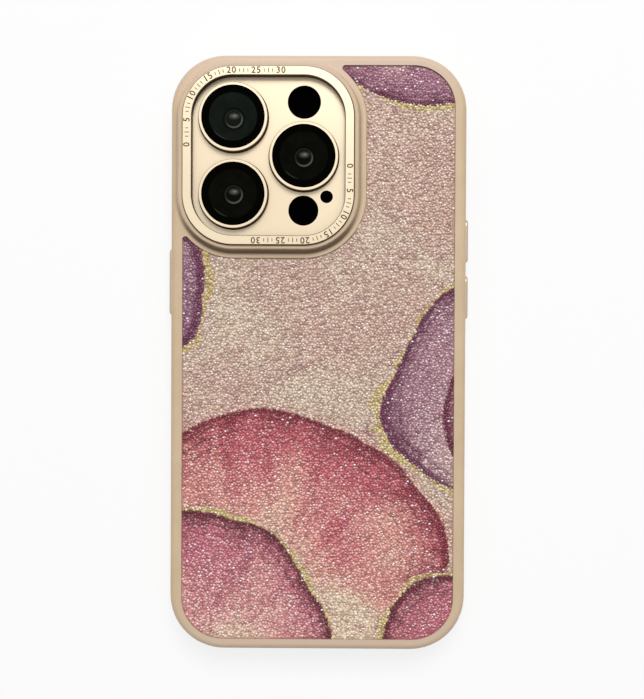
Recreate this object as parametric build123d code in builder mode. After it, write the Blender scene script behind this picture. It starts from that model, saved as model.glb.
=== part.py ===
from build123d import *
import os

os.makedirs("parts", exist_ok=True)

# The case lies on its front lip with its back up. X runs across, Y towards the camera end,
# Z through the thickness. The origin is the middle of the front rim's plane. Millimetres.

# Handset that the case is moulded for
handset_width = 71.5
handset_length = 147.5
handset_depth = 7.85

# Bumper frame
wall = 1.7
corner_radius = 13.75
lip_height = 0.9
lip_overhang = 1.3
lip_bevel = 0.35
pocket_clearance = 0.1
back_edge_radius = 1.5
front_edge_radius = 1.0
rim_above_plate = 0.9
rim_width = 2.9
rim_end_width = 2.6

# Back panel stack
plate_thickness = 1.2
plate_grip = 0.5
film_thickness = 0.1
glitter_thickness = 0.45
inlay_gap = 0.08
inlay_corner_radius = 10.6
inlay_point_radius = 0.8

# Camera guard
guard_x = -12.65
guard_y = 49.5
guard_width = 43.2
guard_length = 44.8
guard_corner_radius = 12.7
guard_top_above_rim = 3.25
ring_band = 2.35
ring_top_bevel = 0.2
deck_thickness = 0.7
deck_bearing = 1.2
deck_gap = 0.05
seat_above_plate = 0.65
tape_thickness = 0.15

# Collar of the bumper frame round the camera guard
collar_gap = 0.15
collar_band = 0.9
collar_slope = 0.7
collar_height = 2.4
collar_bevel = 0.2
flange_beyond_guard = 3.05

# Opening under the guard, for the raised camera area of the handset
bump_width = 38.6
bump_length = 40.3
bump_corner_radius = 10.6

# Lens rings, glass and apertures, placed from the middle of the case
lens_places = [(-21.55, 59.25), (-21.5, 39.95), (-3.75, 49.45)]
lens_ring_radius = 8.7
lens_skirt_radius = 8.95
lens_skirt_height = 0.2
lens_bore_radius = 7.3
lens_spigot_radius = 7.85
lens_top_below_guard = 0.4
lens_top_bevel = 0.15
glass_radius = 7.95
glass_thickness = 0.5
glass_below_top = 0.1
glass_bevel = 0.1
seal_thickness = 0.1
glass_fit = 0.03
flash_place = (-3.7, 63.3)
flash_radius = 4.2
sensor_place = (-3.85, 35.95)
sensor_radius = 3.8
microphone_place = (2.0, 39.45)
microphone_radius = 1.6

# Buttons: name, side of the case, place along Y, length of the cap
buttons = [
    ("power_button", -1, 18.1, 17.0),
    ("volume_up_button", 1, 28.9, 11.1),
    ("volume_down_button", 1, 14.4, 11.1),
]
cap_height = 3.0
cap_proud = 1.0
cap_round = 0.5
cap_clearance = 0.12
pad_recess = 1.0
pad_thickness = 0.5
pad_overlap = 0.8
pad_clearance = 0.2
pad_rest_gap = 0.08
rivet_radius = 0.6
rivet_inset = 2.6
window_bevel = 0.2

# Cut-outs in the walls: place along the wall, length, height
switch_cutout = (42.6, 10.0, 5.2)
port_cutout = (0.0, 13.6, 6.4)
speaker_cutout = (18.6, 12.0, 2.6)
bottom_microphone_cutout = (-18.6, 12.0, 2.6)
cutout_bevel = 0.35

# Levels and sizes worked out from the above
case_width = handset_width + 2 * wall
case_length = handset_length + 2 * wall
pocket_radius = corner_radius - wall
plate_level = lip_height + handset_depth + pocket_clearance
film_level = plate_level + plate_thickness
glitter_level = film_level + film_thickness
rim_level = film_level + rim_above_plate
seat_level = film_level + seat_above_plate
deck_level = seat_level + tape_thickness
deck_top = deck_level + deck_thickness
guard_top = rim_level + guard_top_above_rim
lens_top = guard_top - lens_top_below_guard
glass_level = lens_top - glass_below_top - glass_thickness
key_level = lip_height + (handset_depth + pocket_clearance) / 2
guard_centre = (guard_x, guard_y)


def grown(extra):
    """Width, length and corner radius of the guard's outline, grown by extra on every side."""
    return guard_width + 2 * extra, guard_length + 2 * extra, guard_corner_radius + extra


def side_plane(side, depth, along):
    """Plane that faces out through a long wall, at a depth below its outer face."""
    return Plane(
        origin=(side * (case_width / 2 - depth), along, key_level),
        x_dir=(0, 1, 0),
        z_dir=(side, 0, 0),
    )


def end_plane(depth, along):
    """Plane that faces out through the bottom wall, at a depth below its outer face."""
    return Plane(
        origin=(along, depth - case_length / 2, key_level),
        x_dir=(1, 0, 0),
        z_dir=(0, -1, 0),
    )


# Outline of the inlay: the back's window, less the flange round the camera guard
with BuildSketch() as inlay_outline:
    RectangleRounded(
        case_width - 2 * rim_width, case_length - 2 * rim_end_width, inlay_corner_radius
    )
    with Locations(guard_centre):
        RectangleRounded(*grown(flange_beyond_guard), mode=Mode.SUBTRACT)
    corners = inlay_outline.vertices()
    points = [
        corners.group_by(Axis.Y)[-1].sort_by(Axis.X)[0],
        corners.group_by(Axis.X)[0].sort_by(Axis.Y)[-1],
    ]
    fillet(points, inlay_point_radius)

# Back plate: hard panel that closes the tray, open under the camera guard, with a bevelled edge
with BuildPart() as back_plate:
    with BuildSketch(Plane.XY.offset(plate_level)):
        RectangleRounded(
            handset_width + 2 * plate_grip, handset_length + 2 * plate_grip, pocket_radius + plate_grip
        )
    extrude(amount=plate_thickness)
    chamfer(back_plate.faces().sort_by(Axis.Z)[0].edges(), plate_grip)
    with BuildSketch(Plane.XY.offset(plate_level)):
        with Locations(guard_centre):
            RectangleRounded(bump_width, bump_length, bump_corner_radius)
    extrude(amount=plate_thickness, mode=Mode.SUBTRACT)
back_plate.part.label = "back_plate"
export_step(back_plate.part, "parts/back_plate.step")

# Bumper frame: soft tray with its lip, back rim, collar, windows and cut-outs
with BuildPart() as bumper_frame:
    with BuildSketch():
        RectangleRounded(case_width, case_length, corner_radius)
    extrude(amount=rim_level)
    fillet(bumper_frame.faces().sort_by(Axis.Z)[-1].edges(), back_edge_radius)
    fillet(bumper_frame.faces().sort_by(Axis.Z)[0].edges(), front_edge_radius)

    # Collar with a sloped outer wall
    with BuildSketch(Plane.XY.offset(rim_level + collar_height)):
        with Locations(guard_centre):
            RectangleRounded(*grown(collar_gap + collar_band))
    with BuildSketch(Plane.XY.offset(rim_level)):
        with Locations(guard_centre):
            RectangleRounded(*grown(collar_gap + collar_band + collar_slope))
    loft()
    chamfer(bumper_frame.faces().sort_by(Axis.Z)[-1].edges(), collar_bevel)

    # Pocket for the handset, and the groove moulded round the edge of the back plate
    with BuildSketch(Plane.XY.offset(lip_height)):
        RectangleRounded(handset_width, handset_length, pocket_radius)
    extrude(amount=plate_level - lip_height, mode=Mode.SUBTRACT)
    add(back_plate.part, mode=Mode.SUBTRACT)

    # Screen opening inside the lip, with a bevelled inner edge
    with BuildSketch():
        RectangleRounded(
            handset_width - 2 * lip_overhang,
            handset_length - 2 * lip_overhang,
            pocket_radius - lip_overhang,
        )
    extrude(amount=lip_height, mode=Mode.SUBTRACT)
    chamfer(bumper_frame.faces().sort_by(Axis.Z)[0].inner_wires()[0].edges(), lip_bevel)

    # Seat of the camera guard and the opening under it
    with BuildSketch(Plane.XY.offset(seat_level)):
        with Locations(guard_centre):
            RectangleRounded(*grown(collar_gap))
    extrude(amount=guard_top - seat_level, mode=Mode.SUBTRACT)
    with BuildSketch(Plane.XY.offset(plate_level)):
        with Locations(guard_centre):
            RectangleRounded(bump_width, bump_length, bump_corner_radius)
    extrude(amount=seat_level - plate_level, mode=Mode.SUBTRACT)

    # Window of the inlay
    with BuildSketch(Plane.XY.offset(film_level)):
        add(inlay_outline.sketch)
    extrude(amount=rim_above_plate, mode=Mode.SUBTRACT)

    # Button windows, each with a recess for its pad on the pocket side
    for _, side, along, length in buttons:
        with BuildSketch(side_plane(side, wall, along)):
            SlotOverall(length + 2 * cap_clearance, cap_height + 2 * cap_clearance)
        extrude(amount=wall, mode=Mode.SUBTRACT)
        pad_margin = 2 * (pad_overlap + pad_clearance)
        with BuildSketch(side_plane(side, wall, along)):
            SlotOverall(length + pad_margin, cap_height + pad_margin)
        extrude(amount=pad_recess, mode=Mode.SUBTRACT)

    # Cut-outs for the mute switch, port, speaker and microphone
    along, length, height = switch_cutout
    with BuildSketch(side_plane(1, wall, along)):
        SlotOverall(length, height)
    extrude(amount=wall, mode=Mode.SUBTRACT)
    for along, length, height in (port_cutout, speaker_cutout, bottom_microphone_cutout):
        with BuildSketch(end_plane(wall, along)):
            SlotOverall(length, height)
        extrude(amount=wall, mode=Mode.SUBTRACT)

    # Bevelled outer edges of the windows and cut-outs
    bottom_wall = bumper_frame.faces().sort_by(Axis.Y)[0]
    chamfer([wire.edges() for wire in bottom_wall.inner_wires()], cutout_bevel)
    for long_wall in (
        bumper_frame.faces().sort_by(Axis.X)[0],
        bumper_frame.faces().sort_by(Axis.X)[-1],
    ):
        chamfer([wire.edges() for wire in long_wall.inner_wires()], window_bevel)
bumper_frame.part.label = "bumper_frame"
export_step(bumper_frame.part, "parts/bumper_frame.step")

# Printed film and the glitter sheet over it
for name, level, thickness in (
    ("print_film", film_level, film_thickness),
    ("glitter_sheet", glitter_level, glitter_thickness),
):
    with BuildPart() as inlay:
        with BuildSketch(Plane.XY.offset(level)):
            add(inlay_outline.sketch)
            offset(amount=-inlay_gap)
        extrude(amount=thickness)
    inlay.part.label = name
    export_step(inlay.part, f"parts/{name}.step")

# Adhesive frame under the camera guard
with BuildPart() as camera_tape:
    with BuildSketch(Plane.XY.offset(seat_level)):
        with Locations(guard_centre):
            RectangleRounded(*grown(0))
            RectangleRounded(bump_width, bump_length, bump_corner_radius, mode=Mode.SUBTRACT)
    extrude(amount=tape_thickness)
camera_tape.part.label = "camera_tape"
export_step(camera_tape.part, "parts/camera_tape.step")

# Camera ring: raised band with a rebate under it for the deck
with BuildPart() as camera_ring:
    with BuildSketch(Plane.XY.offset(deck_level)):
        with Locations(guard_centre):
            RectangleRounded(*grown(0))
            RectangleRounded(*grown(-ring_band), mode=Mode.SUBTRACT)
    extrude(amount=guard_top - deck_level)
    chamfer(camera_ring.faces().sort_by(Axis.Z)[-1].edges(), ring_top_bevel)
    with BuildSketch(Plane.XY.offset(deck_level)):
        with Locations(guard_centre):
            RectangleRounded(*grown(deck_bearing + deck_gap - ring_band))
    extrude(amount=deck_thickness, mode=Mode.SUBTRACT)
camera_ring.part.label = "camera_ring"
export_step(camera_ring.part, "parts/camera_ring.step")

# Camera deck: recessed plate with its lens, flash, sensor and microphone holes
with BuildPart() as camera_deck:
    with BuildSketch(Plane.XY.offset(deck_level)):
        with Locations(guard_centre):
            RectangleRounded(*grown(deck_bearing - ring_band))
        with Locations(*lens_places):
            Circle(lens_spigot_radius, mode=Mode.SUBTRACT)
        with Locations(flash_place):
            Circle(flash_radius, mode=Mode.SUBTRACT)
        with Locations(sensor_place):
            Circle(sensor_radius, mode=Mode.SUBTRACT)
        with Locations(microphone_place):
            Circle(microphone_radius, mode=Mode.SUBTRACT)
    extrude(amount=deck_thickness)
camera_deck.part.label = "camera_deck"
export_step(camera_deck.part, "parts/camera_deck.step")

# Lens rings, each with a spigot through the deck, and the glass on its seal
for number, place in enumerate(lens_places, start=1):
    with BuildPart() as lens_ring:
        with BuildSketch(Plane(origin=(*place, 0), x_dir=(1, 0, 0), z_dir=(0, -1, 0))):
            with BuildLine():
                Polyline(
                    (lens_bore_radius, deck_level),
                    (lens_spigot_radius, deck_level),
                    (lens_spigot_radius, deck_top),
                    (lens_skirt_radius, deck_top),
                    (lens_skirt_radius, deck_top + lens_skirt_height),
                    (lens_ring_radius, deck_top + lens_skirt_height),
                    (lens_ring_radius, lens_top - lens_top_bevel),
                    (lens_ring_radius - lens_top_bevel, lens_top),
                    (glass_radius + glass_fit, lens_top),
                    (glass_radius + glass_fit, glass_level - seal_thickness),
                    (lens_bore_radius, glass_level - seal_thickness),
                    close=True,
                )
            make_face()
        revolve(axis=Axis((*place, 0), (0, 0, 1)))
    lens_ring.part.label = f"lens_ring_{number}"
    export_step(lens_ring.part, f"parts/lens_ring_{number}.step")

    with BuildPart() as lens_seal:
        with BuildSketch(Plane.XY.offset(glass_level - seal_thickness)):
            with Locations(place):
                Circle(glass_radius)
                Circle(lens_bore_radius, mode=Mode.SUBTRACT)
        extrude(amount=seal_thickness)
    lens_seal.part.label = f"lens_seal_{number}"
    export_step(lens_seal.part, f"parts/lens_seal_{number}.step")

    with BuildPart() as lens_glass:
        with BuildSketch(Plane.XY.offset(glass_level)):
            with Locations(place):
                Circle(glass_radius)
        extrude(amount=glass_thickness)
        chamfer(lens_glass.faces().sort_by(Axis.Z)[-1].edges(), glass_bevel)
    lens_glass.part.label = f"lens_glass_{number}"
    export_step(lens_glass.part, f"parts/lens_glass_{number}.step")

# Buttons: a metal cap with two rivets, and the pad behind the wall that they hold
foot_depth = wall - pad_recess + pad_rest_gap
for name, side, along, length in buttons:
    rivet_reach = length / 2 - rivet_inset
    with BuildPart() as cap:
        with BuildSketch(side_plane(side, foot_depth, along)):
            SlotOverall(length, cap_height)
        extrude(amount=foot_depth + cap_proud)
        fillet(cap.faces().sort_by(Axis((0, 0, 0), (side, 0, 0)))[-1].edges(), cap_round)
        with BuildSketch(side_plane(side, foot_depth, along)):
            with Locations((-rivet_reach, 0), (rivet_reach, 0)):
                Circle(rivet_radius)
        extrude(amount=-pad_thickness)
    cap.part.label = f"{name}_cap"
    export_step(cap.part, f"parts/{name}_cap.step")

    with BuildPart() as pad:
        with BuildSketch(side_plane(side, foot_depth, along)):
            SlotOverall(length + 2 * pad_overlap, cap_height + 2 * pad_overlap)
            with Locations((-rivet_reach, 0), (rivet_reach, 0)):
                Circle(rivet_radius, mode=Mode.SUBTRACT)
        extrude(amount=-pad_thickness)
    pad.part.label = f"{name}_pad"
    export_step(pad.part, f"parts/{name}_pad.step")
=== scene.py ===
import math
from typing import NamedTuple

import bpy
import numpy as np
from mathutils import Euler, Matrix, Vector
from mathutils.bvhtree import BVHTree


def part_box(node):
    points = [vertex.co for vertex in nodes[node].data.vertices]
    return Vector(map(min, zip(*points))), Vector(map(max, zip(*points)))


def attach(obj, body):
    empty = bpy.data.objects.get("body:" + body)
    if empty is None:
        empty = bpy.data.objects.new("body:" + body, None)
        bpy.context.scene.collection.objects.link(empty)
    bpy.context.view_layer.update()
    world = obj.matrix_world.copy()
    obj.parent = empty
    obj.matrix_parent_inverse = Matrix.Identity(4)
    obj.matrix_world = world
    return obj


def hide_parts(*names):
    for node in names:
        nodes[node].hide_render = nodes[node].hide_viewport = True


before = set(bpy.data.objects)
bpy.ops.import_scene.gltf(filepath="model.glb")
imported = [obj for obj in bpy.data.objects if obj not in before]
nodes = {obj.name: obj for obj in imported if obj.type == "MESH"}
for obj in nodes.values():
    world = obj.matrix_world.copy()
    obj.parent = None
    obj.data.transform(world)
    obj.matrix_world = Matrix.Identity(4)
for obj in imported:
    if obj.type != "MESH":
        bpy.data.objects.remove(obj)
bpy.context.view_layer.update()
MM = 0.001

# The camera ring's corner radius and the width of its top face, which its box doesn't give
RING_CORNER = 12.7 * MM
RING_BAND = 2.35 * MM

# ---------------------------------------------------------------- camera and key lamp

# Millimetres and degrees
CAMERA_PLACE = (3.47, 3.50, 294.45)
CAMERA_TURN = (-0.531, 0.498, 0.256)
CAMERA_LENS = 57.6
SENSOR_WIDTH = 36.0

# Metres and watts
KEY_PLACE = (0.060, 0.545, 0.862)
KEY_SIZE = 0.42
KEY_POWER = 5.35
KEY_TINT = (0.985, 0.99, 1.0)


def set_camera():
    """Camera over the back of the case, turned a little as a hand-held one is."""
    bpy.ops.object.camera_add(location=Vector(CAMERA_PLACE) * MM)
    camera = bpy.context.object
    camera.rotation_euler = Euler([math.radians(angle) for angle in CAMERA_TURN], "XYZ")
    camera.data.sensor_width = SENSOR_WIDTH
    camera.data.lens = CAMERA_LENS
    camera.data.clip_start = 10 * MM
    bpy.context.scene.camera = camera


def add_key_lamp():
    """Square softbox beyond the camera end, which faces the middle of the case."""
    bpy.ops.object.light_add(type="AREA", location=KEY_PLACE)
    lamp = bpy.context.object
    lamp.name = "key"
    lamp.data.shape = "SQUARE"
    lamp.data.size = KEY_SIZE
    lamp.data.energy = KEY_POWER
    lamp.data.color = KEY_TINT
    lamp.rotation_euler = (-Vector(KEY_PLACE)).to_track_quat("-Z", "Y").to_euler()


# ---------------------------------------------------------------- shader building


def srgb(red, green, blue):
    """A colour given in screen values from 0 to 255, as the linear colour that a shader takes."""
    found = []
    for value in (red, green, blue):
        share = value / 255
        found.append(share / 12.92 if share <= 0.04045 else ((share + 0.055) / 1.055) ** 2.4)
    return (*found, 1.0)


def grey(level):
    return (level, level, level, 1.0)


class Value:
    """A socket whose arithmetic, with a number on either side, adds Math nodes to its tree."""

    def __init__(self, paint, socket):
        self.paint = paint
        self.socket = socket

    def math(self, operation, *others):
        return self.paint.node("ShaderNodeMath", {"operation": operation}, [self, *others])

    def __add__(self, other):
        return self.math("ADD", other)

    __radd__ = __add__

    def __sub__(self, other):
        return self.math("SUBTRACT", other)

    def __rsub__(self, other):
        return self.paint.node("ShaderNodeMath", {"operation": "SUBTRACT"}, [other, self])

    def __mul__(self, other):
        return self.math("MULTIPLY", other)

    __rmul__ = __mul__

    def __truediv__(self, other):
        return self.math("DIVIDE", other)

    def __rtruediv__(self, other):
        return self.paint.node("ShaderNodeMath", {"operation": "DIVIDE"}, [other, self])

    def rise(self, low, high):
        """0 below low and 1 above high, with a smooth step between."""
        settings = {"interpolation_type": "SMOOTHSTEP"}
        inputs = {0: self, 1: low, 2: high, 3: 0.0, 4: 1.0}
        return self.paint.node("ShaderNodeMapRange", settings, inputs)

    def fall(self, low, high):
        """1 below low and 0 above high, with a smooth step between."""
        return 1.0 - self.rise(low, high)

    def clip(self):
        """Held between 0 and 1."""
        return self.paint.node("ShaderNodeClamp", {}, {0: self, 1: 0.0, 2: 1.0})


class Paint:
    """A material, or the world, being built node by node."""

    def __init__(self, name, block=None):
        self.block = block or bpy.data.materials.new(name)
        self.block.use_nodes = True
        self.tree = self.block.node_tree
        self.tree.nodes.clear()

    def node(self, kind, settings=None, inputs=None, out=0):
        """Adds a node with its settings, then its inputs, and returns one of its outputs."""
        made = self.tree.nodes.new(kind)
        for key, value in (settings or {}).items():
            if key == "stops":
                ramp = made.color_ramp.elements
                while len(ramp) < len(value):
                    ramp.new(0.5)
                for stop, (place, colour) in zip(ramp, value):
                    stop.position = place
                    stop.color = colour
            else:
                setattr(made, key, value)
        pairs = inputs.items() if isinstance(inputs, dict) else enumerate(inputs or [])
        for key, value in pairs:
            if isinstance(value, Value):
                self.tree.links.new(value.socket, made.inputs[key])
            else:
                made.inputs[key].default_value = value
        return Value(self, made.outputs[out]) if made.outputs else None

    def place(self):
        """The surface point in the object's own frame, in millimetres."""
        return self.scaled(self.node("ShaderNodeTexCoord", out="Object"), 1 / MM)

    def scaled(self, vector, factor):
        return self.node("ShaderNodeVectorMath", {"operation": "SCALE"}, {0: vector, 3: factor})

    def vector(self, operation, *vectors):
        return self.node("ShaderNodeVectorMath", {"operation": operation}, vectors)

    def flat(self, vector):
        """The vector with its height taken off."""
        return self.vector("MULTIPLY", vector, (1.0, 1.0, 0.0))

    def length(self, vector):
        return self.node("ShaderNodeVectorMath", {"operation": "LENGTH"}, [vector], out=1)

    def dot(self, first, second):
        return self.node("ShaderNodeVectorMath", {"operation": "DOT_PRODUCT"}, [first, second], out=1)

    def parts(self, vector):
        """The x, y and z of a vector."""
        split = self.node("ShaderNodeSeparateXYZ", {}, [vector])
        outputs = split.socket.node.outputs
        return [Value(self, outputs[index]) for index in range(3)]

    def noise(self, vector, scale, detail, roughness, out=0):
        """Noise from 0 to 1, or with out=1 a colour of three such noises."""
        inputs = {"Vector": vector, "Scale": scale, "Detail": detail, "Roughness": roughness}
        return self.node("ShaderNodeTexNoise", {}, inputs, out=out)

    def mix(self, factor, first, second, blend="MIX"):
        """Colour mix: first where factor is 0 and second where it is 1."""
        settings = {"data_type": "RGBA", "blend_type": blend}
        return self.node("ShaderNodeMix", settings, {0: factor, 6: first, 7: second}, out=2)

    def bump(self, height, strength, distance):
        inputs = {"Strength": strength, "Distance": distance, "Height": height}
        return self.node("ShaderNodeBump", {}, inputs)

    def seen_directly(self):
        """1 for what the camera sees, straight, in a reflection or through glass, and 0 for the rest."""
        rays = self.node("ShaderNodeLightPath").socket.node.outputs
        straight = Value(self, rays["Is Camera Ray"])
        reflected = Value(self, rays["Is Glossy Ray"])
        through_glass = Value(self, rays["Is Transmission Ray"])
        return (straight + reflected + through_glass).clip()

    def finish(self, **inputs):
        """Ends the tree in a Principled shader with these inputs, spelt with underscores for spaces."""
        named = {key.replace("_", " "): value for key, value in inputs.items()}
        shader = self.node("ShaderNodeBsdfPrincipled", {}, named)
        self.node("ShaderNodeOutputMaterial", {}, {"Surface": shader})
        return self.block


# ---------------------------------------------------------------- soft TPU

TPU_BEIGE = srgb(211, 185, 152)
TPU_BEIGE_LOW = srgb(204, 178, 144)
TPU_PINK_BEIGE = srgb(209, 184, 160)
TPU_PAINTED_CREASE_SHADE = srgb(96, 74, 50)
TPU_GRAIN = srgb(150, 124, 98)
PAD_BEIGE = srgb(196, 170, 138)
PAD_BEIGE_LOW = srgb(188, 161, 129)

# Distances from the case's middle over which its end walls turn pinker, in millimetres
END_WALLS = (62.0, 74.0)

# Painted shade in the crease round the collar: its strength at the lower side, and the share of that at
# the other sides
CREASE_SHADE = 0.90
CREASE_AT_SIDES = 0.35
# In millimetres: its inner and outer edges beyond the guard's outline, how much further in it goes at
# the lower side, the heights between which it starts, how far above the guard's lower end it weakens,
# and where it ends towards the camera end
CREASE_INNER = (1.05, 1.6)
CREASE_OUTER = (1.8, 2.5)
CREASE_WIDENS = 0.3
CREASE_LEVEL = (10.6, 10.8)
CREASE_WEAKENS = (1.0, 9.0)
CREASE_ENDS = (58.0, 68.0)


def beyond_outline(paint, place, centre, half, corner):
    """How far a place lies outside a rounded rectangle, in millimetres."""
    flat = paint.flat(paint.vector("SUBTRACT", place, (*centre, 0.0)))
    folded = paint.vector("ABSOLUTE", flat)
    past = paint.vector("SUBTRACT", folded, (half[0] - corner, half[1] - corner, 0.0))
    return paint.length(paint.vector("MAXIMUM", past, (0.0, 0.0, 0.0))) - corner


def painted_crease_shade(paint, place):
    """Painted contact shade where the collar's slope meets the rim, deepest at the collar's lower side,
    which faces away from the key lamp.
    """
    low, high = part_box("camera_ring")
    middle = (low + high) / 2 / MM
    half = (high - low) / 2 / MM
    foot = low.y / MM
    beyond = beyond_outline(paint, place, middle[:2], half[:2], RING_CORNER / MM)
    _, along, height = paint.parts(place)
    start, end = CREASE_WEAKENS
    lower_side = along.fall(foot + start, foot + end) * (1.0 - CREASE_AT_SIDES) + CREASE_AT_SIDES
    fade = along.fall(*CREASE_ENDS) * height.rise(*CREASE_LEVEL) * lower_side
    band = (beyond + lower_side * CREASE_WIDENS).rise(*CREASE_INNER) * beyond.fall(*CREASE_OUTER)
    return band * fade * CREASE_SHADE


def mottled(paint, place, colour, low_colour):
    """Two colours in faint clouds about a centimetre across."""
    cloud = paint.noise(place, 0.12, 3.0, 0.55).rise(0.3, 0.7)
    return paint.mix(cloud, low_colour, colour)


def finish_tpu(paint, place, colour, roughness):
    """Ends a material as matt moulded elastomer: fine spark-eroded grain and a soft skin."""
    grain = paint.noise(place, 9.0, 2.0, 0.6)
    return paint.finish(
        Base_Color=paint.mix(grain * 0.10, colour, TPU_GRAIN),
        Roughness=grain * 0.16 + (roughness - 0.08),
        Specular_IOR_Level=0.5,
        Sheen_Weight=0.20,
        Sheen_Roughness=0.4,
        Normal=paint.bump(grain, 0.12, 0.05 * MM),
    )


def bumper_tpu(name):
    """Beige elastomer, pinker on the end walls and with painted shade in the crease round the collar."""
    paint = Paint(name)
    place = paint.place()
    _, along, _ = paint.parts(place)
    start, end = END_WALLS
    colour = mottled(paint, place, TPU_BEIGE, TPU_BEIGE_LOW)
    colour = paint.mix((along * along).rise(start ** 2, end ** 2), colour, TPU_PINK_BEIGE)
    # Painted shade in the crease round the collar
    colour = paint.mix(painted_crease_shade(paint, place), colour, TPU_PAINTED_CREASE_SHADE)
    return finish_tpu(paint, place, colour, 0.45)


def pad_tpu(name):
    """The duller elastomer of the pads behind the button caps."""
    paint = Paint(name)
    place = paint.place()
    return finish_tpu(paint, place, mottled(paint, place, PAD_BEIGE, PAD_BEIGE_LOW), 0.6)


# ---------------------------------------------------------------- anodised aluminium

SATIN_GOLD = srgb(236, 218, 187)
SATIN_GOLD_SHADE = srgb(230, 210, 177)
# The caps' gold is darker than the guard's, partly as painted shade for the darker surroundings their
# sides reflect
CAP_GOLD = srgb(200, 180, 156)
CAP_GOLD_SHADE = srgb(186, 166, 144)
# Painted shade: the dark brown put on the guard's walls, and the roughness of those walls
WALL_PAINTED_SHADE = srgb(62, 42, 12)
WALL_ROUGHNESS = 0.85

# Depths below its top face at which a guard piece's painted wall shade ends and its satin is full, in
# millimetres
PAINTED_SHADE_ENDS = 0.15
SATIN_FULL = 0.03


def blasted_metal(paint, place, colour, shade):
    """The fine grain of bead-blasted metal, and its colour with faint clouds in it."""
    grain = paint.noise(place, 14.0, 3.0, 0.7)
    cloud = paint.noise(place, 0.06, 2.0, 0.5).rise(0.25, 0.75)
    return grain, paint.mix(cloud * 0.5 + grain * 0.3, colour, shade)


def guard_gold(name, node_name):
    """Satin gold on the top face of a piece of the camera guard, and below that face a rough dark brown
    that is painted shade on its walls.
    """
    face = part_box(node_name)[1].z / MM
    paint = Paint(name)
    place = paint.place()
    grain, satin = blasted_metal(paint, place, SATIN_GOLD, SATIN_GOLD_SHADE)
    _, _, height = paint.parts(place)
    top = height.rise(face - PAINTED_SHADE_ENDS, face - SATIN_FULL)
    return paint.finish(
        # Below the top face the colour is painted wall shade
        Base_Color=paint.mix(top, WALL_PAINTED_SHADE, satin),
        Metallic=0.3,
        Roughness=(grain * 0.14 + 0.23) * top + (1.0 - top) * WALL_ROUGHNESS,
        Normal=paint.bump(grain, 0.10, 0.03 * MM),
    )


def cap_gold(name):
    """Smooth anodised gold of the button caps, a little darker than the guard: partly their own tone and
    partly painted shade for the darker surroundings that their sides reflect.
    """
    paint = Paint(name)
    grain, satin = blasted_metal(paint, paint.place(), CAP_GOLD, CAP_GOLD_SHADE)
    return paint.finish(
        Base_Color=satin,
        Metallic=0.75,
        Roughness=grain * 0.14 + 0.19,
        Normal=paint.bump(grain, 0.03, 0.03 * MM),
    )


# ---------------------------------------------------------------- lens windows

BORDER_BLACK = srgb(2, 2, 1)
WELL_BLACK = srgb(6, 6, 4)
PAINTED_RING_REFLECTION = srgb(92, 94, 84)
PAINTED_LENS_GLOW = srgb(98, 104, 90)
PAINTED_LENS_GLINT = srgb(150, 154, 140)
PAINTED_ARC_REFLECTION = srgb(74, 76, 64)

# Edges in millimetres from the middle: of the printed border, of the painted arc of reflected light inside
# it, and of the dark well and the painted thin ring of reflected light round the lens
BORDER_EDGE = (5.9, 6.2)
ARC_INNER, ARC_OUTER = (5.75, 5.95), (5.98, 6.15)
WELL_INNER, WELL_OUTER = (1.4, 2.0), (2.6, 3.2)
RING_INNER, RING_OUTER = (1.7, 2.12), (2.12, 2.45)

# A lens lies a little off the middle of its window, by these shares of the window's x and of its y
# past this place, in millimetres
LENS_SHIFT_X = 0.010
LENS_SHIFT_Y = 0.018
LENS_SHIFT_START_Y = 24.0


def painted_lens_behind(paint, flat, centre, glass):
    """Lays over the glass what stands for the lens behind it: a dark well, and painted reflections on it:
    a thin ring, a glow and a glint.
    """
    shift = (LENS_SHIFT_X * centre.x, LENS_SHIFT_Y * (centre.y - LENS_SHIFT_START_Y), 0.0)
    deep = paint.vector("ADD", flat, shift)
    radius = paint.length(deep)
    well = radius.rise(*WELL_INNER) * radius.fall(*WELL_OUTER)
    glass = paint.mix(well * 0.7, glass, WELL_BLACK)
    across, along, _ = paint.parts(deep)
    # The painted ring of reflected light is brightest towards its lower right
    facing = (across * 0.6 - along).rise(-1.0, 2.4) * 0.85 + 0.15
    ring = radius.rise(*RING_INNER) * radius.fall(*RING_OUTER)
    glass = paint.mix(ring * facing * 0.8, glass, PAINTED_RING_REFLECTION)
    # Painted highlight: a glow and a small glint above the lens's middle
    above = paint.vector("SUBTRACT", deep, (0.12, 0.70, 0.0))
    spot = paint.vector("MULTIPLY", above, (0.66, 1.10, 0.0))
    glow = paint.length(spot).fall(0.10, 1.15)
    glass = paint.mix(glow * 0.62, glass, PAINTED_LENS_GLOW)
    painted_glint = paint.length(paint.vector("SUBTRACT", spot, (0.10, 0.10, 0.0))).fall(0.05, 0.45)
    return paint.mix(painted_glint * 0.35, glass, PAINTED_LENS_GLINT)


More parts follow.
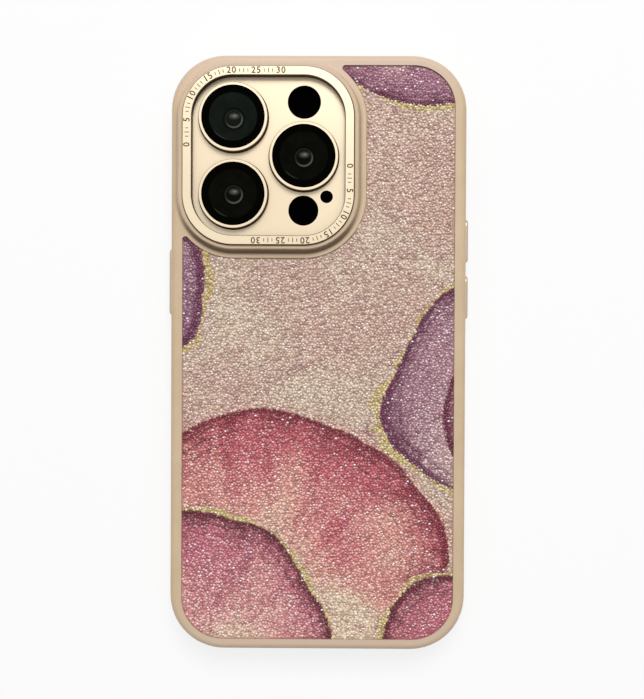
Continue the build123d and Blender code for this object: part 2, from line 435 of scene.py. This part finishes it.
def window_glass(name, node_name, smoke_and_shade):
    """Dark window: a black printed border round a smoky disc, whose darkness is also painted shade for the
    dim inside behind the glass, with a painted lens and its painted reflections in its middle.
    """
    low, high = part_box(node_name)
    centre = (low + high) / 2 / MM
    paint = Paint(name)
    place = paint.place()
    flat = paint.flat(paint.vector("SUBTRACT", place, (centre.x, centre.y, 0.0)))
    radius = paint.length(flat)
    haze = paint.noise(place, 0.35, 3.0, 0.6)
    paler_smoke = [value + 6 for value in smoke_and_shade]
    glass = paint.mix(haze.rise(0.3, 0.75), srgb(*smoke_and_shade), srgb(*paler_smoke))
    glass = painted_lens_behind(paint, flat, centre, glass)
    across, along, _ = paint.parts(flat)
    # Painted reflection: a faint arc just inside the border, on its lower side
    lower_side = (across * -0.55 - along * 0.83).rise(5.45, 5.95)
    painted_arc = radius.rise(*ARC_INNER) * radius.fall(*ARC_OUTER) * lower_side
    glass = paint.mix(painted_arc * 0.6, glass, PAINTED_ARC_REFLECTION)
    return paint.finish(
        Base_Color=paint.mix(radius.fall(*BORDER_EDGE), BORDER_BLACK, glass),
        Roughness=haze * 0.03 + 0.03,
        Specular_IOR_Level=0.012,
        IOR=1.5,
    )


# ---------------------------------------------------------------- foam, ink, card and back plate

FOAM = (srgb(12, 12, 11), srgb(33, 33, 30))
ENGRAVING_INK = (srgb(58, 46, 26), srgb(84, 70, 46))
BLACK_CARD = (srgb(2, 2, 1), srgb(6, 6, 4))

PLATE_BEIGE = srgb(210, 189, 162)
PLATE_BEIGE_LOW = srgb(196, 174, 146)
PLATE_DOT = srgb(224, 208, 186)
# The dots' pitch in millimetres, and their edge as the square of a share of it
DOT_PITCH = 1.1
DOT_EDGE = (0.012, 0.03)


def matt_dark(name, colours, gloss):
    """Fine-celled matt finish between two dark colours."""
    paint = Paint(name)
    cell = paint.noise(paint.place(), 6.0, 4.0, 0.7)
    return paint.finish(
        Base_Color=paint.mix(cell, *colours),
        Roughness=cell * 0.2 + 0.6,
        Specular_IOR_Level=gloss,
        Normal=paint.bump(cell, 0.2, 0.05 * MM),
    )


def dotted_plate(name):
    """Moulded back plate with the fine dots inside it that keep the handset from sticking."""
    paint = Paint(name)
    place = paint.place()
    x, y, _ = paint.parts(place)
    across = (x / DOT_PITCH).math("FRACT") - 0.5
    along = (y / DOT_PITCH).math("FRACT") - 0.5
    dot = (across * across + along * along).fall(*DOT_EDGE)
    cloud = paint.noise(place, 0.2, 3.0, 0.5)
    plate = paint.mix(cloud, PLATE_BEIGE_LOW, PLATE_BEIGE)
    return paint.finish(
        Base_Color=paint.mix(dot * 0.25, plate, PLATE_DOT),
        Roughness=0.42 - dot * 0.1,
        Normal=paint.bump(dot, 0.5, 0.03 * MM),
    )


# ---------------------------------------------------------------- ink marble


class InkPool(NamedTuple):
    """A pool of ink: its place, half sizes, turn, the way its dark rim faces, its edge and its colours."""

    centre: tuple
    half: tuple
    turn: float
    rim_faces: float
    gold_edge: bool
    deep: tuple
    middle: tuple
    light: tuple


# Millimetres, degrees and screen colours
INK_POOLS = (
    InkPool((-14, -56), (47, 42), 12, 62, False, (128, 10, 40), (206, 102, 114), (228, 162, 150)),
    InkPool((-31, -70), (31, 33), 20, 48, True, (106, 4, 40), (204, 114, 132), (226, 162, 158)),
    InkPool((44, -5), (25, 30), -16, 165, True, (106, 28, 74), (180, 134, 150), (214, 180, 180)),
    InkPool((52, -13), (18, 21), -8, 150, False, (102, 8, 54), (176, 108, 132), (208, 160, 168)),
    InkPool((-46, 16), (20, 17), 12, -30, True, (106, 32, 78), (172, 128, 150), (206, 172, 182)),
    InkPool((27, 84), (26, 22), -18, -100, True, (102, 16, 64), (170, 112, 136), (208, 162, 170)),
    InkPool((40, -84), (27, 26), 10, 120, True, (106, 6, 42), (200, 112, 128), (224, 162, 158)),
)
INK_GOLD = srgb(212, 190, 126)
INK_CREAM = srgb(234, 212, 184)
INK_TIDE = srgb(168, 112, 116)
FIELD_BEIGE = srgb(220, 200, 177)
FIELD_PINK = srgb(209, 172, 156)
FILM_PAINTED_SHADE = srgb(90, 66, 60)

# How far the ink's slow drift and its ripples carry a place, in millimetres
INK_DRIFT = 34.0
INK_RIPPLE = 2.6
# How deep a pool's dark rim goes, as a share of its two half sizes together
RIM_DEPTH = 0.15
# In millimetres beyond a pool's outline: its tint on the colour round it, the lines there, its own
# outline, and the inner and outer edges of the dark line along it
TINT_ENDS = (0.0, 3.5)
LINES_END = (1.5, 4.5)
OUTLINE = (-0.25, 0.25)
EDGE_INNER, EDGE_OUTER = (-1.9, -0.9), (0.0, 0.4)
# A vein's width where it is thinnest, and how much wider it is where the ink has gathered
VEIN_WIDTH = 0.1
VEIN_SWELLS = 2.2


def ink_pool(paint, colour, moved, gathered, sway, pool):
    """Lays one pool over a colour: pale to deep across it, fine lines inside its rim, gold outside."""
    deep, middle, light = srgb(*pool.deep), srgb(*pool.middle), srgb(*pool.light)
    rich = paint.mix(0.50, deep, middle)
    local = paint.node(
        "ShaderNodeMapping",
        {"vector_type": "TEXTURE"},
        {
            "Vector": moved,
            "Location": (*pool.centre, 0.0),
            "Rotation": (0.0, 0.0, math.radians(pool.turn)),
            "Scale": (*pool.half, 1.0),
        },
    )
    beyond = (paint.length(local) - 1.0) * (sum(pool.half) / 2)
    ray = paint.vector("NORMALIZE", local)
    fanned = paint.vector("ADD", paint.scaled(ray, 3.0), paint.scaled(local, 0.7))
    streaks = paint.noise(fanned, 2.2, 4.0, 0.6)
    angle = math.radians(pool.rim_faces - pool.turn)
    way = (math.cos(angle), math.sin(angle), 0.0)
    faced = paint.dot(ray, way)
    rim_share = faced.rise(-0.6, 0.5)
    lines = ((beyond + sway * 7.0) * 2.4).math("SINE").rise(0.66, 0.96)

    # Its body: cream to its middle colour, then deeper towards the rim, with fine lines there
    stops = [(0.14, INK_CREAM), (0.36, light), (0.66, middle), (1.0, middle)]
    tint = paint.dot(local, way) * 0.75 + streaks * 0.5 + sway * 1.1 - 0.62
    body = paint.node("ShaderNodeValToRGB", {"stops": stops}, [tint])
    body = paint.mix(streaks.rise(0.57, 0.70) * 0.6, body, rich)
    depth = sum(pool.half) * RIM_DEPTH
    fade = beyond.rise(-depth, -0.5) * streaks.rise(0.26, 0.58) * rim_share
    body = paint.mix(fade * 0.86, body, rich)
    core = beyond.rise(-depth * 0.55, -0.5) * streaks.rise(0.42, 0.60) * rim_share
    body = paint.mix(core * 0.85, body, deep)
    fine = lines * beyond.rise(-depth, -depth * 0.3) * (gathered * 0.6 + 0.4) * rim_share
    body = paint.mix(fine * 0.85, body, deep)

    # Its tint and lines on the colour round it, then the body, its dark edge and its gold vein
    colour = paint.mix(beyond.fall(*TINT_ENDS) * 0.30, colour, light)
    outer = lines * beyond.fall(*LINES_END) * gathered.rise(0.3, 0.6) * rim_share
    colour = paint.mix(outer * 0.5, colour, rich)
    colour = paint.mix(beyond.fall(*OUTLINE), colour, body)
    edge = beyond.rise(*EDGE_INNER) * beyond.fall(*EDGE_OUTER) * (rim_share * 0.8 + 0.2)
    colour = paint.mix(edge * streaks.rise(0.2, 0.4), colour, deep)
    if not pool.gold_edge:
        return colour
    width = gathered * VEIN_SWELLS + VEIN_WIDTH
    vein = beyond.rise(0.0, 0.35) * (beyond - width).fall(-0.2, 0.3) * faced.rise(-0.45, 0.0)
    return paint.mix(vein, colour, INK_GOLD)


def ink_marble(paint, place):
    """Colour of a poured alcohol-ink marble at a place in millimetres."""
    flat = paint.flat(place)
    half_grey = (0.5, 0.5, 0.5)
    drift = paint.vector("SUBTRACT", paint.noise(flat, 0.018, 1.0, 0.4, out=1), half_grey)
    ripple = paint.vector("SUBTRACT", paint.noise(flat, 0.11, 3.0, 0.6, out=1), half_grey)
    moved = paint.vector("ADD", flat, paint.scaled(drift, INK_DRIFT))
    moved = paint.flat(paint.vector("ADD", moved, paint.scaled(ripple, INK_RIPPLE)))
    gathered = paint.noise(flat, 0.10, 2.0, 0.5).rise(0.30, 0.66)
    sway = paint.noise(flat, 0.04, 1.0, 0.4)

    wash = paint.noise(moved, 0.035, 4.0, 0.6)
    colour = paint.mix(wash.rise(0.34, 0.66), FIELD_PINK, FIELD_BEIGE)
    wisp = paint.noise(paint.vector("MULTIPLY", moved, (1.0, 2.4, 1.0)), 0.05, 5.0, 0.65)
    colour = paint.mix(wisp.rise(0.54, 0.70) * 0.5, colour, INK_CREAM)
    tide = wash.rise(0.485, 0.50) * wash.fall(0.50, 0.52)
    colour = paint.mix(tide * wisp.rise(0.42, 0.52) * 0.4, colour, INK_TIDE)
    for pool in INK_POOLS:
        colour = ink_pool(paint, colour, moved, gathered, sway, pool)
    return colour


def printed_film(name):
    """The marble as it is printed on the film, seen in the gaps between the beads, darkened there by
    painted shade.
    """
    paint = Paint(name)
    place = paint.place()
    return paint.finish(
        # Painted shade for the gaps between the beads
        Base_Color=paint.mix(0.3, ink_marble(paint, place), FILM_PAINTED_SHADE),
        Roughness=paint.noise(place, 1.5, 2.0, 0.5) * 0.2 + 0.3,
        Specular_IOR_Level=0.4,
    )


# ---------------------------------------------------------------- glass of the beads

BEAD_SHADE = (0.58, 0.47, 0.47, 1.0)
PAINTED_GLINT_WARM = srgb(255, 240, 224)
PAINTED_SPARK_WHITE = srgb(255, 252, 248)
PAINTED_SPARK_BLUE = srgb(224, 220, 252)

# The chances above which a bead's painted glint is a painted spark, and that spark is bluish
SPARK_ABOVE = (0.96, 0.98)
BLUE_ABOVE = (0.80, 0.82)

# One over a painted glint's half width and its half height, in millimetres
GLINT_SHARPNESS = (2.9, 5.6, 0.0)
# The most that a painted glint lies to one side of its bead's middle and above it, and how much lower the
# palest beads' painted glints lie, in millimetres
GLINT_ASIDE = 0.12
GLINT_ABOVE = 0.22
GLINT_LOWER = 0.18


def bead_glass(name):
    """Clear fused beads: each shows the print under it, darker or paler, and a wide painted glint on top,
    towards the key lamp.
    """
    paint = Paint(name)
    spot = paint.node("ShaderNodeAttribute", {"attribute_name": "bead_place"}, out="Vector")
    chance = paint.node("ShaderNodeAttribute", {"attribute_name": "bead_chance"}, out="Vector")
    shade_chance, glint_chance, side_chance = paint.parts(chance)
    colour = ink_marble(paint, spot)
    dark = paint.mix(1.0, colour, BEAD_SHADE, "MULTIPLY")
    body = paint.mix(shade_chance.rise(0.05, 0.75), dark, colour)

    # The painted glint: a little above the bead's middle, towards the key lamp, and about twice as wide as
    # it is high
    aside = side_chance * (2 * GLINT_ASIDE) - GLINT_ASIDE
    offset = [aside, GLINT_ABOVE - shade_chance * GLINT_LOWER, 0.0]
    aim = paint.node("ShaderNodeCombineXYZ", {}, offset)
    away = paint.vector("SUBTRACT", paint.place(), spot)
    near = paint.vector("MULTIPLY", paint.vector("SUBTRACT", away, aim), GLINT_SHARPNESS)
    spread = paint.length(near) * (1.20 - glint_chance * 0.45)
    painted_glint = spread.fall(0.3, 1.1) * (glint_chance.rise(0.05, 0.90) * 0.90 + 0.06)
    lightness = paint.node("ShaderNodeRGBToBW", {}, [colour])
    painted_glint_colour = paint.mix(lightness.rise(0.03, 0.40) * 0.56 + 0.12, colour, PAINTED_GLINT_WARM)
    # Painted sparks: the brightest glints, white or bluish
    painted_spark = paint.mix(side_chance.rise(*BLUE_ABOVE), PAINTED_SPARK_WHITE, PAINTED_SPARK_BLUE)
    return paint.finish(
        Base_Color=paint.mix(painted_glint, body, paint.mix(glint_chance.rise(*SPARK_ABOVE), painted_glint_colour, painted_spark)),
        Roughness=0.32,
        Specular_IOR_Level=0.4,
        Coat_Weight=glint_chance.rise(0.70, 0.97) * 0.80 + 0.15,
        Coat_Roughness=0.10,
        Coat_IOR=1.6,
    )


# ---------------------------------------------------------------- modelling helpers


def deselect():
    bpy.ops.object.select_all(action="DESELECT")


def activate(piece):
    """Makes piece the only selected and the active object."""
    deselect()
    piece.select_set(True)
    bpy.context.view_layer.objects.active = piece


def settle(piece):
    """Puts the piece's object at the origin, unturned and unscaled, with its place in its mesh."""
    activate(piece)
    bpy.ops.object.transform_apply(location=True, rotation=True, scale=True)


def join(pieces):
    """Joins pieces into the first of them."""
    deselect()
    for piece in pieces:
        piece.select_set(True)
    bpy.context.view_layer.objects.active = pieces[0]
    bpy.ops.object.join()
    return bpy.context.object


def add_object(name, mesh):
    piece = bpy.data.objects.new(name, mesh)
    bpy.context.scene.collection.objects.link(piece)
    return piece


def copy_of(node_name, name):
    """A welded copy of a CAD node, to be worked on as a piece of its own."""
    piece = add_object(name, nodes[node_name].data.copy())
    activate(piece)
    bpy.ops.object.mode_set(mode="EDIT")
    bpy.ops.mesh.select_all(action="SELECT")
    bpy.ops.mesh.remove_doubles(threshold=0.002 * MM)
    bpy.ops.object.mode_set(mode="OBJECT")
    bpy.ops.mesh.customdata_custom_splitnormals_clear()
    return piece


def apply_modifier(piece, kind, **settings):
    """Adds a modifier, sets it and applies it."""
    activate(piece)
    modifier = piece.modifiers.new(kind.lower(), kind)
    for key, value in settings.items():
        setattr(modifier, key, value)
    bpy.ops.object.modifier_apply(modifier=modifier.name)


def wear(piece, *materials):
    """Gives the piece these materials in place of its own."""
    piece.data.materials.clear()
    for material in materials:
        piece.data.materials.append(material)


# ---------------------------------------------------------------- glitter sheet

BEAD_PITCH = 0.74 * MM
BEAD_RADIUS = 0.42 * MM
BEAD_HEIGHT = 0.20 * MM
BEAD_JITTER_X = 0.25 * MM
BEAD_JITTER_Y = 0.27 * MM
BEAD_LEAN = math.radians(14)
BEAD_GROWTH = (0.74, 1.12)
BEAD_SEED = 7
BEAD_STRIPS = 4
BASE_SHEET_TOP = 0.15 * MM
BELOW_SHEET_TOP = 0.01 * MM

# The share of its lean that lifts a bead's side, and of its radius that has to lie over the sheet
LEAN_LIFT = 0.6
BEAD_HOLD = 0.6


def one_bead():
    """Eight-sided dome on a closed flat foot, cut from a sphere."""
    deselect()
    bpy.ops.mesh.primitive_uv_sphere_add(segments=8, ring_count=4, radius=BEAD_RADIUS)
    bead = bpy.context.object
    bpy.ops.object.mode_set(mode="EDIT")
    bpy.ops.mesh.select_all(action="SELECT")
    bpy.ops.mesh.bisect(plane_co=(0, 0, 0), plane_no=(0, 0, 1), use_fill=True, clear_inner=True)
    bpy.ops.mesh.select_all(action="SELECT")
    bpy.ops.transform.resize(value=(1.0, 1.0, BEAD_HEIGHT / BEAD_RADIUS))
    bpy.ops.object.mode_set(mode="OBJECT")
    bpy.ops.object.shade_smooth_by_angle(angle=math.radians(50))
    return bead


def lay_beads(number, low, high, level):
    """A strip of beads in close-packed rows over its share of the sheet, and one bead's point count."""
    width = (high.x - low.x) / BEAD_STRIPS
    columns = math.ceil(width / BEAD_PITCH)
    row_step = BEAD_PITCH * math.sqrt(3)
    rows = math.ceil((high.y - low.y) / row_step) + 1
    strip = one_bead()
    bead_points = len(strip.data.vertices)
    strip.name = f"glitter_beads_{number + 1}"
    strip.location = (low.x + number * columns * BEAD_PITCH, low.y, level)
    settle(strip)
    for count, step in (
        (2, (BEAD_PITCH / 2, row_step / 2, 0)),
        (columns, (BEAD_PITCH, 0, 0)),
        (rows, (0, row_step, 0)),
    ):
        apply_modifier(
            strip,
            "ARRAY",
            count=count,
            use_relative_offset=False,
            use_constant_offset=True,
            constant_offset_displace=step,
        )
    return strip, bead_points


def turned_and_leant(beads, spin, lean_way, lean):
    """Beads about their own middles, each turned about its axis and then leant over."""
    cos, sin = np.cos(spin)[:, None], np.sin(spin)[:, None]
    turned = beads.copy()
    turned[:, :, 0] = beads[:, :, 0] * cos - beads[:, :, 1] * sin
    turned[:, :, 1] = beads[:, :, 0] * sin + beads[:, :, 1] * cos
    tilt_x = (lean * np.cos(lean_way))[:, None]
    tilt_y = (lean * np.sin(lean_way))[:, None]
    height = turned[:, :, 2].copy()
    turned[:, :, 2] += (turned[:, :, 0] * tilt_x + turned[:, :, 1] * tilt_y) * LEAN_LIFT
    turned[:, :, 0] -= height * tilt_x
    turned[:, :, 1] -= height * tilt_y
    return turned


def sheet_top(sheet):
    return max(corner[2] for corner in sheet.bound_box)


def beads_on_sheet(centres, sheet):
    """Whether each bead's middle and six places round it lie over the CAD sheet."""
    mesh = sheet.data
    points = [vertex.co for vertex in mesh.vertices]
    faces = [tuple(polygon.vertices) for polygon in mesh.polygons]
    tree = BVHTree.FromPolygons(points, faces)
    steps = [Vector((0, 0, 0))]
    for turn in range(6):
        angle = math.radians(60 * turn)
        steps.append(Vector((math.cos(angle), math.sin(angle), 0)) * BEAD_RADIUS * BEAD_HOLD)
    start = sheet_top(sheet) + 1 * MM
    found = []
    for centre in centres:
        above = Vector((centre[0], centre[1], start))
        found.append(all(tree.ray_cast(above + step, (0, 0, -1))[0] is not None for step in steps))
    return np.array(found)


def keep_on_points(mesh, name, vectors):
    """Keeps a vector on each point of a mesh, for its material to read."""
    layer = mesh.attributes.new(name, "FLOAT_VECTOR", "POINT")
    layer.data.foreach_set("vector", vectors.ravel())


def delete_points(piece, chosen):
    """Deletes the chosen points of a mesh with the faces on them."""
    mesh = piece.data
    mesh.vertices.foreach_set("select", chosen)
    mesh.edges.foreach_set("select", np.zeros(len(mesh.edges), bool))
    mesh.polygons.foreach_set("select", np.zeros(len(mesh.polygons), bool))
    mesh.update()
    activate(piece)
    bpy.ops.object.mode_set(mode="EDIT")
    bpy.ops.mesh.delete(type="VERT")
    bpy.ops.object.mode_set(mode="OBJECT")


def scatter_beads(strip, bead_points, sheet, chance):
    """Shifts, turns, leans and sizes each bead at random, and clears those that aren't on the sheet."""
    mesh = strip.data
    points = np.empty(len(mesh.vertices) * 3)
    mesh.vertices.foreach_get("co", points)
    beads = points.reshape(-1, bead_points, 3)
    count = len(beads)
    centres = beads.mean(axis=1)
    centres[:, 2] = beads[:, :, 2].min(axis=1)
    spin = chance.uniform(0, 2 * math.pi, count)
    lean_way = chance.uniform(0, 2 * math.pi, count)
    lean = chance.uniform(0, BEAD_LEAN, count)
    grow = chance.uniform(*BEAD_GROWTH, count)
    local = (beads - centres[:, None, :]) * grow[:, None, None]
    centres[:, 0] += chance.uniform(-BEAD_JITTER_X, BEAD_JITTER_X, count)
    centres[:, 1] += chance.uniform(-BEAD_JITTER_Y, BEAD_JITTER_Y, count)
    placed = turned_and_leant(local, spin, lean_way, lean) + centres[:, None, :]
    placed[:, :, 2] = np.minimum(placed[:, :, 2], sheet_top(sheet) - BELOW_SHEET_TOP)
    mesh.vertices.foreach_set("co", placed.ravel())
    chances = chance.uniform(0, 1, (count, 3))
    keep_on_points(mesh, "bead_place", np.repeat(centres / MM, bead_points, axis=0))
    keep_on_points(mesh, "bead_chance", np.repeat(chances, bead_points, axis=0))
    off_sheet = ~beads_on_sheet(centres, sheet)
    delete_points(strip, np.repeat(off_sheet, bead_points))


def map_from_above(piece):
    """Texture map laid flat from above, so that no two beads share a spot."""
    mesh = piece.data
    while mesh.uv_layers:
        mesh.uv_layers.remove(mesh.uv_layers[0])
    layer = mesh.uv_layers.new(name="OFBake")
    points = np.empty(len(mesh.vertices) * 3)
    mesh.vertices.foreach_get("co", points)
    flat = points.reshape(-1, 3)[:, :2]
    low = flat.min(axis=0)
    span = flat.max(axis=0) - low
    corners = np.empty(len(mesh.loops), dtype=np.int32)
    mesh.loops.foreach_get("vertex_index", corners)
    layer.uv.foreach_set("vector", ((flat - low) / span)[corners].ravel())


def make_glitter_base(low, high):
    """The CAD sheet with its top face lowered, which leaves room for the beads."""
    base = copy_of("glitter_sheet", "glitter_base")
    bpy.ops.object.mode_set(mode="EDIT")
    bpy.ops.mesh.select_all(action="DESELECT")
    bpy.ops.object.mode_set(mode="OBJECT")
    for vertex in base.data.vertices:
        vertex.select = vertex.co.z > (low.z + high.z) / 2
    bpy.ops.object.mode_set(mode="EDIT")
    bpy.ops.transform.translate(value=(0, 0, low.z + BASE_SHEET_TOP - high.z))
    bpy.ops.object.mode_set(mode="OBJECT")
    wear(base, printed_film("glitter_base"))
    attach(base, "case")
    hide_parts("glitter_sheet")


def make_glitter():
    """The glitter sheet: a thin base and the beads fused on it."""
    low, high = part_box("glitter_sheet")
    make_glitter_base(low, high)
    glass = bead_glass("glitter_beads")
    chance = np.random.default_rng(BEAD_SEED)
    for number in range(BEAD_STRIPS):
        strip, bead_points = lay_beads(number, low, high, low.z + BASE_SHEET_TOP)
        scatter_beads(strip, bead_points, nodes["glitter_sheet"], chance)
        map_from_above(strip)
        wear(strip, glass)
        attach(strip, "case")


# ---------------------------------------------------------------- engraved camera ring

# The scale's numbers, how far up the ring's left side they start, and how far apart they are
SCALE_NUMBERS = ("0", "5", "10", "15", "20", "25", "30")
SCALE_START = 25.0 * MM
SCALE_STEP = 6.2 * MM
# Ticks between two numbers: their places in sixths of a step, and their lengths
TICKS = ((2, 0.8 * MM), (3, 1.2 * MM), (4, 0.8 * MM))
TICK_WIDTH = 0.18 * MM
# The figures, in a font whose size is 1.45 times their height
FIGURE_HEIGHT = 1.55 * MM
FONT_SIZE = FIGURE_HEIGHT * 1.45
FIGURE_WEIGHT = 0.030 * MM
FIGURE_SPACING = 1.15
ENGRAVE_DEPTH = 0.10 * MM


def along_ring(distance, low, high):
    """Place and heading on the middle line of the ring's band, clockwise from low on its left side."""
    inset = RING_BAND / 2
    bend = RING_CORNER - inset
    left = low.x + inset
    top = high.y - inset
    start = low.y + SCALE_START
    straight = top - bend - start
    if distance <= straight:
        return Vector((left, start + distance, high.z)), 0.0
    turned = (distance - straight) / bend
    if turned <= math.pi / 2:
        middle = Vector((left + bend, top - bend, high.z))
        offset = Vector((-math.cos(turned), math.sin(turned), 0)) * bend
        return middle + offset, turned
    over = distance - straight - bend * math.pi / 2
    return Vector((left + bend + over, top, high.z)), math.pi / 2


def stand_on_ring(mark, place, heading):
    """Puts a mark on the ring's band with its top towards the ring's outer edge."""
    mark.location = place
    mark.rotation_euler = (0, 0, math.pi / 2 - heading)
    settle(mark)
    return mark


def add_number(text, place, heading):
    """Solid figures, side by side along the ring's band."""
    deselect()
    bpy.ops.object.text_add()
    figure = bpy.context.object
    figure.data.body = text
    figure.data.size = FONT_SIZE
    figure.data.offset = FIGURE_WEIGHT
    figure.data.space_character = FIGURE_SPACING
    figure.data.align_x = "CENTER"
    figure.data.align_y = "CENTER"
    figure.data.extrude = ENGRAVE_DEPTH
    figure.data.resolution_u = 3
    bpy.ops.object.convert(target="MESH")
    return stand_on_ring(figure, place, heading)


def add_tick(length, place, heading):
    """Solid bar across the ring's band."""
    deselect()
    bpy.ops.mesh.primitive_cube_add(size=1)
    tick = bpy.context.object
    tick.scale = (TICK_WIDTH, length, 2 * ENGRAVE_DEPTH)
    return stand_on_ring(tick, place, heading)


def scale_cutter(low, high):
    """Figures and ticks of one scale, and the same again half a turn round the ring."""
    marks = []
    for index, text in enumerate(SCALE_NUMBERS):
        distance = index * SCALE_STEP
        marks.append(add_number(text, *along_ring(distance, low, high)))
        if text == SCALE_NUMBERS[-1]:
            break
        for sixths, length in TICKS:
            tick_distance = distance + sixths * SCALE_STEP / 6
            marks.append(add_tick(length, *along_ring(tick_distance, low, high)))
    first = join(marks)
    second = add_object("scale_opposite", first.data.copy())
    middle = (low + high) / 2
    second.location = (2 * middle.x, 2 * middle.y, 0)
    second.rotation_euler = (0, 0, math.pi)
    settle(second)
    return join([first, second])


def make_camera_ring():
    """The CAD ring with a plain numbered scale engraved in its top face."""
    gold = guard_gold("guard_gold", "camera_ring")
    ink = matt_dark("engraving_ink", ENGRAVING_INK, 0.2)
    low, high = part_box("camera_ring")
    ring = copy_of("camera_ring", "camera_ring_engraved")
    wear(ring, gold, ink)
    cutter = scale_cutter(low, high)
    wear(cutter, ink)
    apply_modifier(
        ring,
        "BOOLEAN",
        operation="DIFFERENCE",
        solver="EXACT",
        object=cutter,
        material_mode="TRANSFER",
        use_self=True,
    )
    bpy.data.objects.remove(cutter)
    activate(ring)
    bpy.ops.object.shade_smooth_by_angle(angle=math.radians(30))
    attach(ring, "case")
    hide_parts("camera_ring")


# ---------------------------------------------------------------- CAD nodes that show as they are

# Each window's disc colour: a smoke tint that is also painted shade for the dim inside behind the glass
LENS_SMOKE_AND_SHADE = {1: (18, 22, 18), 2: (7, 8, 4), 3: (7, 8, 4)}
BUTTONS = ("power_button", "volume_up_button", "volume_down_button")


def dress_nodes():
    """Gives each of these nodes its finish."""
    foam = matt_dark("black_foam", FOAM, 0.5)
    wear(nodes["bumper_frame"], bumper_tpu("bumper_tpu"))
    wear(nodes["back_plate"], dotted_plate("dotted_plate"))
    wear(nodes["print_film"], printed_film("ink_print"))
    wear(nodes["camera_tape"], foam)
    wear(nodes["camera_deck"], guard_gold("deck_gold", "camera_deck"))
    ring_gold = guard_gold("lens_ring_gold", "lens_ring_1")
    for number, smoke_and_shade in LENS_SMOKE_AND_SHADE.items():
        glass = window_glass(f"window_glass_{number}", f"lens_glass_{number}", smoke_and_shade)
        wear(nodes[f"lens_glass_{number}"], glass)
        wear(nodes[f"lens_ring_{number}"], ring_gold)
        wear(nodes[f"lens_seal_{number}"], foam)
    cap, pad = cap_gold("button_gold"), pad_tpu("pad_tpu")
    for button in BUTTONS:
        wear(nodes[f"{button}_cap"], cap)
        wear(nodes[f"{button}_pad"], pad)


# ---------------------------------------------------------------- floor and studio

WHITE = grey(1.0)
FLOOR_SIZE = 12.0
FLOOR_DROP = 0.02 * MM
FLOOR_GREYS = (grey(0.91), grey(0.93))
FLOOR_GLOW = 0.78

CARD_WIDTH = 70 * MM
CARD_LENGTH = 146 * MM
CARD_CORNER = 12 * MM
CARD_DROP = 0.01 * MM

CEILING_EDGE = (0.62, 0.88)
CEILING_LIGHT = 0.93
ROOM_LIGHT = 0.06
ROOM_RISE = 0.52


def make_floor():
    """Pale floor with a white glow where it is seen, through which the case's shadow still shows."""
    bpy.ops.mesh.primitive_plane_add(size=FLOOR_SIZE, location=(0, 0, -FLOOR_DROP))
    floor = bpy.context.object
    floor.name = "floor"
    paint = Paint("floor_card")
    colour = paint.mix(paint.noise(paint.place(), 0.02, 2.0, 0.5), *FLOOR_GREYS)
    matt = {"Base Color": colour, "Roughness": 0.9, "Specular IOR Level": 0.0}
    surface = paint.node("ShaderNodeBsdfPrincipled", {}, matt)
    glow = paint.node("ShaderNodeEmission", {}, {"Color": WHITE, "Strength": 1.0})
    lit = paint.node("ShaderNodeMixShader", {}, [paint.seen_directly() * FLOOR_GLOW, surface, glow])
    paint.node("ShaderNodeOutputMaterial", {}, {"Surface": lit})
    wear(floor, paint.block)
    return floor


def make_handset_and_shade_card():
    """Round-cornered black card on the floor inside the tray, in place of a dark handset and as painted
    shade for the dim inside of the case.
    """
    bpy.ops.mesh.primitive_plane_add(size=1.0, location=(0, 0, -CARD_DROP))
    card = bpy.context.object
    card.name = "dark_card"
    card.scale = (CARD_WIDTH, CARD_LENGTH, 1)
    settle(card)
    bpy.ops.object.mode_set(mode="EDIT")
    bpy.ops.mesh.select_all(action="SELECT")
    bpy.ops.mesh.bevel(offset=CARD_CORNER, segments=8, affect="VERTICES")
    bpy.ops.object.mode_set(mode="OBJECT")
    wear(card, matt_dark("dark_card", BLACK_CARD, 0.05))
    return card


def light_room():
    """Bright ceiling over a dim room that is lighter beyond the camera end, and white where it is seen."""
    world = bpy.data.worlds.new("studio")
    bpy.context.scene.world = world
    paint = Paint("studio", world)
    _, y, z = paint.parts(paint.node("ShaderNodeTexCoord", out="Generated"))
    ceiling = z.rise(*CEILING_EDGE)
    room = y.rise(-0.6, 0.9) * ROOM_RISE + ROOM_LIGHT
    light = ceiling * CEILING_LIGHT + (1.0 - ceiling) * room
    seen = paint.seen_directly()
    strength = light * (1.0 - seen) + seen
    sky = paint.node("ShaderNodeBackground", {}, {"Color": WHITE, "Strength": strength})
    paint.node("ShaderNodeOutputWorld", {}, {"Surface": sky})


def set_stage():
    """Floor, dark card, room light and key lamp."""
    floor = make_floor()
    card = make_handset_and_shade_card()
    light_room()
    add_key_lamp()


bpy.context.scene.view_settings.view_transform = "Standard"
set_camera()
set_stage()
dress_nodes()
make_camera_ring()
make_glitter()
